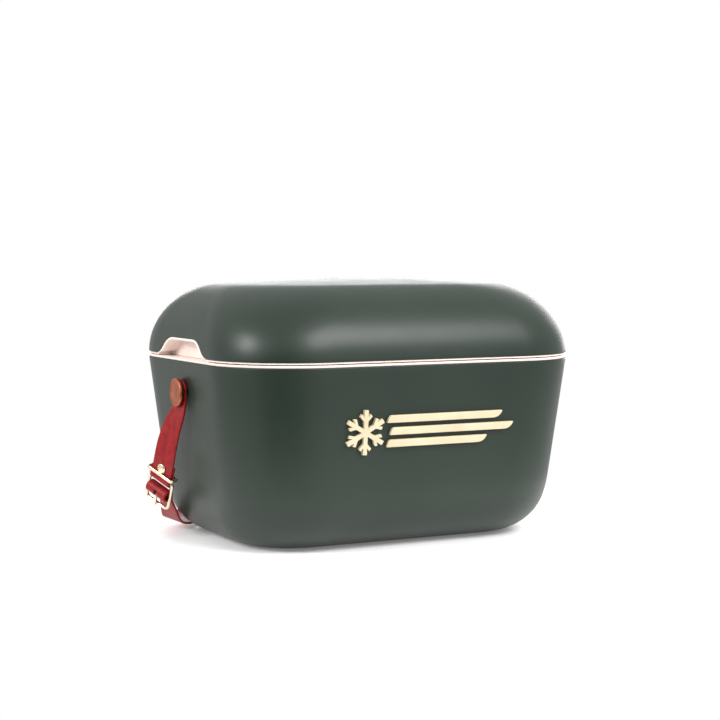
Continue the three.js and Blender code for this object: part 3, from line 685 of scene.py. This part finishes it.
def buckle_matrix():
    """Local axes of the buckle: x across the strap, y up the strap, z outwards."""
    down = Vector((0, 0.473, -0.88))
    down = (down - BUCKLE_ACROSS * down.dot(BUCKLE_ACROSS)).normalized()
    up = -down
    basis = Matrix((BUCKLE_ACROSS, up, BUCKLE_ACROSS.cross(up))).transposed().to_4x4()
    return Matrix.Translation(BUCKLE_PLACE) @ basis


BUCKLE = buckle_matrix()


def at_buckle(y, z):
    """Strap station at the buckle's own height y and distance out z, in millimetres."""
    return BUCKLE @ (Vector((0, y, z)) * MM), BUCKLE_ACROSS


def fold_round(y, z, radius, start, end, steps):
    """Stations round a bar, from one angle to another in degrees."""
    stations = []
    for i in range(steps + 1):
        angle = math.radians(start + (end - start) * i / steps)
        stations.append(at_buckle(y + radius * math.sin(angle), z + radius * math.cos(angle)))
    return stations


def knob_end(side):
    """The round end of the strap under a knob, and its first stretch, on the left (-1) or right (+1)."""
    z = KNOB_Z / MM

    def station(x, y, height, lean=0.0, w=(-0.95, -0.26)):
        return Vector((side * x, y, height)) * MM, Vector((-side * lean, *w))

    end = [station(189.8, down * 0.26, z - down * 0.966) for down in (-13, -12.2, -10.4, -7.4, -3.5)]
    return [
        *end,
        station(189.9, 0.5, z - 2),
        station(191.4, 0.8, z - 14, 0.02),
        station(194.0, 1.8, z - 22, 0.14),
        station(196.6, 3.6, z - 30, 0.25),
        station(198.8, 6.2, z - 39, 0.32),
        station(201.2, 10, z - 53, 0.38, (-0.84, -0.4)),
    ]


def drill_knob_hole(strap, side):
    combine(strap, rod_along_x(4.6 * MM, side * 184 * MM, side * 196 * MM), "DIFFERENCE")


def make_short_strap(look):
    """From the left knob down to the buckle's upper bar, round it and back up behind."""
    fold = 2.9
    stations = [
        *knob_end(-1),
        at_buckle(22, 1.5),
        at_buckle(12, 1.5),
        at_buckle(6, 1.9),
        *fold_round(0, 0, fold, 15, -195, 6),
        at_buckle(6, -1.9),
        at_buckle(12, -1.5),
        at_buckle(17.5, -1.5),
    ]
    piece = make_ribbon("short_strap", stations, 6)
    drill_knob_hole(piece, -1)
    deselect()
    bpy.ops.mesh.primitive_cylinder_add(vertices=32, radius=2.95 * MM, depth=12 * MM)
    hole = bpy.context.object
    lie = Matrix.Translation((0, RIVET_HEIGHT, 0))
    place_by(hole, BUCKLE @ lie)
    combine(piece, hole, "DIFFERENCE")
    shade(piece, 50)
    return finish_piece(piece, "red_short_strap", "strap", look, ["short_strap"])


def make_long_strap(look):
    """From the right knob, behind the box close to the ground, up to the roll on the buckle's centre bar."""
    behind = [
        ((201.4, 16, 80), (-0.42, -0.8, -0.43)),
        ((201.6, 25, 61), (-0.42, -0.82, -0.38)),
        ((198.4, 37, 42), (-0.45, -0.85, -0.3)),
        ((189, 51, 26), (-0.55, -0.8, -0.22)),
        ((176, 66, 13.5), (-0.66, -0.72, -0.2)),
        ((162, 83, 7.5), (-0.72, -0.62, -0.24)),
        ((147, 102, 7.4), (-0.66, -0.62, -0.4)),
        ((126, 119, 9), (-0.5, -0.65, -0.55)),
        ((98, 130.5, 11), (-0.3, -0.66, -0.66)),
        ((55, 136.5, 12), (-0.12, -0.68, -0.72)),
        ((0, 138, 12), (0, -0.68, -0.73)),
        ((-55, 136.5, 12), (0.12, -0.68, -0.72)),
        ((-98, 130.5, 11), (0.3, -0.66, -0.66)),
        ((-126, 119, 9), (0.5, -0.65, -0.55)),
        ((-147, 102, 7.4), (0.66, -0.62, -0.4)),
        ((-166, 80, 9.5), (0.5, -0.78, -0.2)),
        ((-178, 60, 19), (0.25, -0.9, -0.15)),
        ((-187.5, 44, 33), (0.28, -0.9, -0.3)),
    ]
    stations = [
        *knob_end(1),
        *((Vector(p) * MM, Vector(w)) for p, w in behind),
        *fold_round(-14.7, 0.3, 5.2, 165, -125, 9),
        at_buckle(-23.5, -5.2),
        at_buckle(-27, -6.6),
    ]
    piece = make_ribbon("long_strap", stations, 6, tip=stations[-1][0])
    drill_knob_hole(piece, 1)
    deselect()
    bpy.ops.mesh.primitive_cube_add(size=1, scale=PRONG_SLOT, location=PRONG_SLOT_MIDDLE)
    slot = bpy.context.object
    bpy.ops.object.transform_apply(location=True, rotation=True, scale=True)
    place_by(slot, BUCKLE)
    combine(piece, slot, "DIFFERENCE")
    shade(piece, 50)
    return finish_piece(piece, "red_long_strap", "strap", look, ["long_strap"])


# ---------------------------------------------------------------- buckle

def wire_loop(name, half_width, low, high, low_corner, high_corner, wire, flat=0.0):
    """A closed rectangle of wire in the buckle's plane, with its own radius at the low and high corners."""
    deselect()
    middle = (0, (low + high) / 2, 0)
    bpy.ops.mesh.primitive_plane_add(size=2, enter_editmode=True)
    bpy.ops.transform.resize(value=(half_width, (high - low) / 2, 1), center_override=(0, 0, 0))
    bpy.ops.transform.translate(value=middle)
    for level, corner in ((low, low_corner), (high, high_corner)):
        select_where("verts", lambda v: abs(v.co.y - level) < 1e-6)
        bpy.ops.mesh.bevel(affect="VERTICES", offset=corner, segments=10, profile=0.5, clamp_overlap=False)
    bpy.ops.mesh.select_all(action="SELECT")
    bpy.ops.mesh.delete(type="ONLY_FACE")
    bpy.ops.object.mode_set(mode="OBJECT")
    bpy.ops.object.transform_apply(location=True, rotation=True, scale=True)
    bpy.ops.object.convert(target="CURVE")
    curve = bpy.context.object.data
    curve.dimensions = "2D"
    curve.fill_mode = "NONE"
    curve.bevel_depth = wire
    curve.extrude = flat
    curve.bevel_resolution = 5
    bpy.ops.object.convert(target="MESH")
    piece = bpy.context.object
    piece.name = name
    return piece


def make_buckle_frame(look):
    """Wire frame with close upper corners and rounder lower ones, and a centre bar across it."""
    piece = wire_loop(
        "frame", BUCKLE_HALF, -BUCKLE_LENGTH, 0, FRAME_LOW_CORNER, FRAME_HIGH_CORNER, FRAME_WIRE)
    weld(piece)
    deselect()
    bpy.ops.mesh.primitive_cylinder_add(
        vertices=24, radius=BAR_RADIUS, depth=BUCKLE_HALF * 2, rotation=(0, math.pi / 2, 0),
        location=(0, -CENTRE_BAR, 0))
    bar = bpy.context.object
    bpy.ops.object.transform_apply(location=True, rotation=True, scale=True)
    combine(piece, bar, "UNION")
    place_by(piece, BUCKLE)
    shade(piece, 45)
    return finish_piece(piece, "brass_buckle_frame", "strap", look, ["buckle_frame"])


def weld(piece):
    work_on(piece, "EDIT")
    bpy.ops.mesh.select_all(action="SELECT")
    bpy.ops.mesh.remove_doubles(threshold=1e-6)
    bpy.ops.mesh.normals_make_consistent(inside=False)
    bpy.ops.object.mode_set(mode="OBJECT")


def make_keeper(look):
    """Flat band bent round the strap just above the buckle."""
    piece = wire_loop(
        "keeper", KEEPER_HALF, -KEEPER_DEPTH, KEEPER_DEPTH,
        KEEPER_CORNER, KEEPER_CORNER, KEEPER_WIRE, KEEPER_FLAT)
    weld(piece)
    stand = Matrix.Translation((0, KEEPER_HEIGHT, 0)) @ Matrix.Rotation(math.pi / 2, 4, "X")
    place_by(piece, BUCKLE @ stand)
    shade(piece, 45)
    return finish_piece(piece, "brass_strap_keeper", "strap", look, ["strap_keeper"])


def make_rivet(look):
    """Domed slotted screw in front, and the flat-headed post that it turns into behind."""
    face = 3.0 * MM
    screw_profile = [
        (0, -1 * MM), (1.5 * MM, -1 * MM), (1.8 * MM, -0.7 * MM), (1.8 * MM, face), (4.7 * MM, face),
        (5 * MM, face + 0.3 * MM), (5 * MM, face + 0.7 * MM), (4.7 * MM, face + 1.1 * MM),
        (4 * MM, face + 1.5 * MM), (3 * MM, face + 1.8 * MM),
        (1.6 * MM, face + 1.97 * MM), (0, face + 2 * MM),
    ]
    screw = turn_profile("screw", screw_profile, 48)
    deselect()
    bpy.ops.mesh.primitive_cube_add(
        size=1, scale=(1 * MM, 15 * MM, 1.5 * MM), rotation=(0, 0, -0.67), location=(0, 0, face + 2 * MM))
    slot = bpy.context.object
    bpy.ops.object.transform_apply(location=True, rotation=True, scale=True)
    combine(screw, slot, "DIFFERENCE")
    stand = BUCKLE @ Matrix.Translation((0, RIVET_HEIGHT, 0))
    place_by(screw, stand)
    shade(screw, 40)
    finish_piece(screw, "brass_rivet_screw", "strap", look, ["rivet_screw"])
    post_profile = [
        (0, -4.3 * MM), (3.9 * MM, -4.3 * MM), (4.5 * MM, -3.8 * MM),
        (4.5 * MM, -3.2 * MM), (4.3 * MM, -3 * MM),
        (2.6 * MM, -3 * MM), (2.6 * MM, 2 * MM), (2.1 * MM, 2 * MM), (2.1 * MM, -1.6 * MM), (0, -1.6 * MM),
    ]
    post = turn_profile("post", post_profile, 48)
    place_by(post, stand)
    shade(post, 40)
    finish_piece(post, "brass_rivet_post", "strap", look, ["rivet_post"])


def make_prong(look):
    piece = bpy.data.objects.new("prong", nodes["buckle_prong"].data.copy())
    bpy.context.scene.collection.objects.link(piece)
    work_on(piece, "EDIT")
    bpy.ops.mesh.select_all(action="SELECT")
    bpy.ops.mesh.remove_doubles(threshold=1e-5)
    bpy.ops.mesh.dissolve_limited(angle_limit=math.radians(1))
    bpy.ops.object.mode_set(mode="OBJECT")
    soften_edges(piece, 0.4 * MM, 3, 35)
    shade(piece, 45)
    return finish_piece(piece, "brass_prong", "prong", look, ["buckle_prong"])


# ---------------------------------------------------------------- materials

def start_finish(name, roughness, metallic=0.0):
    material = bpy.data.materials.new(name)
    material.use_nodes = True
    tree = material.node_tree
    shader = tree.nodes["Principled BSDF"]
    shader.inputs["Roughness"].default_value = roughness
    shader.inputs["Metallic"].default_value = metallic
    return material, tree, shader


def noise(tree, scale, detail=2.0, stretch=(1, 1, 1), coordinates="Object"):
    """Noise in metres on the piece's own coordinates."""
    place = tree.nodes.new("ShaderNodeTexCoord")
    mapping = tree.nodes.new("ShaderNodeMapping")
    mapping.inputs["Scale"].default_value = stretch
    texture = tree.nodes.new("ShaderNodeTexNoise")
    texture.inputs["Scale"].default_value = scale
    texture.inputs["Detail"].default_value = detail
    tree.links.new(place.outputs[coordinates], mapping.inputs["Vector"])
    tree.links.new(mapping.outputs["Vector"], texture.inputs["Vector"])
    return texture.outputs["Fac"]


def ramp(tree, factor, low, high, start=0.35, end=0.65):
    """Blends two colours as a factor goes from start to end."""
    node = tree.nodes.new("ShaderNodeValToRGB")
    node.color_ramp.elements[0].position = start
    node.color_ramp.elements[0].color = (*low, 1)
    node.color_ramp.elements[1].position = end
    node.color_ramp.elements[1].color = (*high, 1)
    tree.links.new(factor, node.inputs["Fac"])
    return node.outputs["Color"]


def spread(tree, factor, low, high):
    """Maps a 0 to 1 factor to a range of values."""
    node = tree.nodes.new("ShaderNodeMapRange")
    node.inputs["To Min"].default_value = low
    node.inputs["To Max"].default_value = high
    tree.links.new(factor, node.inputs["Value"])
    return node.outputs["Result"]


def raise_bump(tree, shader, height, distance, strength=1.0, under=None):
    node = tree.nodes.new("ShaderNodeBump")
    node.inputs["Distance"].default_value = distance
    node.inputs["Strength"].default_value = strength
    tree.links.new(height, node.inputs["Height"])
    if under is not None:
        tree.links.new(under, node.inputs["Normal"])
    tree.links.new(node.outputs["Normal"], shader.inputs["Normal"])
    return node.outputs["Normal"]


def green_plastic():
    """Deep green satin moulding: faint cloudiness and a very fine spark-eroded texture."""
    material, tree, shader = start_finish("green_plastic", 0.4)
    shader.inputs["Specular IOR Level"].default_value = 0.43
    tone = ramp(tree, noise(tree, 9, 3), (0.012, 0.023, 0.015), (0.016, 0.028, 0.019))
    tree.links.new(tone, shader.inputs["Base Color"])
    tree.links.new(spread(tree, noise(tree, 45, 4), 0.36, 0.44), shader.inputs["Roughness"])
    waves = raise_bump(tree, shader, noise(tree, 60, 1), 0.00006)
    raise_bump(tree, shader, noise(tree, 1500, 2), 0.00002, 0.5, waves)
    return material


def pink_plastic():
    """Pale peach-pink moulding with a soft sheen."""
    material, tree, shader = start_finish("pink_plastic", 0.38)
    tone = ramp(tree, noise(tree, 12, 2), (0.93, 0.79, 0.72), (0.95, 0.83, 0.77))
    tree.links.new(tone, shader.inputs["Base Color"])
    tree.links.new(spread(tree, noise(tree, 50, 3), 0.34, 0.44), shader.inputs["Roughness"])
    raise_bump(tree, shader, noise(tree, 900, 2), 0.00003, 0.5)
    return material


def red_leather():
    """Smooth dyed leather: fine pebbled grain, faint lengthwise fibres and a worn, uneven gloss."""
    material, tree, shader = start_finish("red_leather", 0.42)
    shader.inputs["Specular IOR Level"].default_value = 0.22
    tone = ramp(tree, noise(tree, 160, 4, coordinates="UV"), (0.22, 0.008, 0.010), (0.31, 0.014, 0.016))
    tree.links.new(tone, shader.inputs["Base Color"])
    gloss = spread(tree, noise(tree, 300, 3, coordinates="UV"), 0.34, 0.52)
    tree.links.new(gloss, shader.inputs["Roughness"])
    place = tree.nodes.new("ShaderNodeTexCoord")
    grain = tree.nodes.new("ShaderNodeTexVoronoi")
    grain.inputs["Scale"].default_value = 1100
    tree.links.new(place.outputs["Object"], grain.inputs["Vector"])
    pebbles = raise_bump(tree, shader, grain.outputs["Distance"], 0.00012, 0.5)
    creases = noise(tree, 220, 3, (1, 0.25, 1), "UV")
    raise_bump(tree, shader, creases, 0.0004, 0.5, pebbles)
    return material


def leather_edge_shade():
    """Dark oxblood colour on the leather's cut edges: painted shade, standing in for the shadow those narrow
    faces lie in.
    """
    material, tree, shader = start_finish("leather_edge_shade", 0.45)
    tone = ramp(tree, noise(tree, 400, 3), (0.035, 0.008, 0.008), (0.085, 0.015, 0.016))
    tree.links.new(tone, shader.inputs["Base Color"])
    raise_bump(tree, shader, noise(tree, 900, 3), 0.0001, 0.6)
    return material


def metal(name, low, high, roughness, brush=(1, 1, 1)):
    """Polished metal with a faint tarnish and fine hairlines."""
    material, tree, shader = start_finish(name, roughness, 1.0)
    tone = ramp(tree, noise(tree, 120, 4), low, high)
    tree.links.new(tone, shader.inputs["Base Color"])
    worn = spread(tree, noise(tree, 260, 4), roughness - 0.07, roughness + 0.1)
    tree.links.new(worn, shader.inputs["Roughness"])
    raise_bump(tree, shader, noise(tree, 1400, 2, brush), 0.00003, 0.6)
    return material


def cream_plastic():
    """Cream lacquer with a soft gloss, a little darker where dust settles."""
    material, tree, shader = start_finish("cream_plastic", 0.35)
    tone = ramp(tree, noise(tree, 40, 3), (0.70, 0.58, 0.38), (0.76, 0.65, 0.45))
    tree.links.new(tone, shader.inputs["Base Color"])
    raise_bump(tree, shader, noise(tree, 700, 2), 0.00003, 0.5)
    return material


def foam():
    """Cream-coloured rigid foam with fine cells."""
    material, tree, shader = start_finish("foam", 0.92)
    tone = ramp(tree, noise(tree, 80, 4), (0.72, 0.67, 0.52), (0.84, 0.80, 0.66))
    tree.links.new(tone, shader.inputs["Base Color"])
    place = tree.nodes.new("ShaderNodeTexCoord")
    cells = tree.nodes.new("ShaderNodeTexVoronoi")
    cells.inputs["Scale"].default_value = 700
    tree.links.new(place.outputs["Object"], cells.inputs["Vector"])
    raise_bump(tree, shader, cells.outputs["Distance"], 0.0004, 0.6)
    return material


# ---------------------------------------------------------------- assembly

set_camera()
white_room()
soft_box("front_right_box", (0.45, -1.5, 1.45), (1.3, 0.9), 38)
soft_box("left_box", (-1.7, -0.15, 1.05), (0.4, 0.6), 19)
soft_box("back_box", (1.2, 1.6, 0.45), (2.2, 0.8), 27)
lay_floor()
bpy.context.scene.view_settings.view_transform = "Standard"

green = green_plastic()
pink = pink_plastic()
# the second leather finish darkens the cut edges: painted shade
leather = [red_leather(), leather_edge_shade()]
brass = metal("brass", (0.84, 0.68, 0.49), (0.90, 0.75, 0.57), 0.24)
copper = metal("copper", (0.40, 0.10, 0.042), (0.54, 0.17, 0.08), 0.36, (1, 1, 0.08))
steel = metal("steel", (0.52, 0.53, 0.54), (0.62, 0.63, 0.64), 0.32)
cream = cream_plastic()
stuffing = foam()

make_tub_shell(green)
make_lid_shell(green)
make_tub_liner(pink)
make_lid_liner(pink)
make_knobs(copper, brass)
make_badge(cream)
make_short_strap(leather)
make_long_strap(leather)
make_buckle_frame(brass)
make_keeper(brass)
make_rivet(brass)
make_prong(brass)
for node, look in (("tub_foam", stuffing), ("lid_foam", stuffing), ("left_knob_washer", steel),
                   ("left_knob_nut", steel), ("right_knob_washer", steel), ("right_knob_nut", steel)):
    nodes[node].data.materials.clear()
    nodes[node].data.materials.append(look)
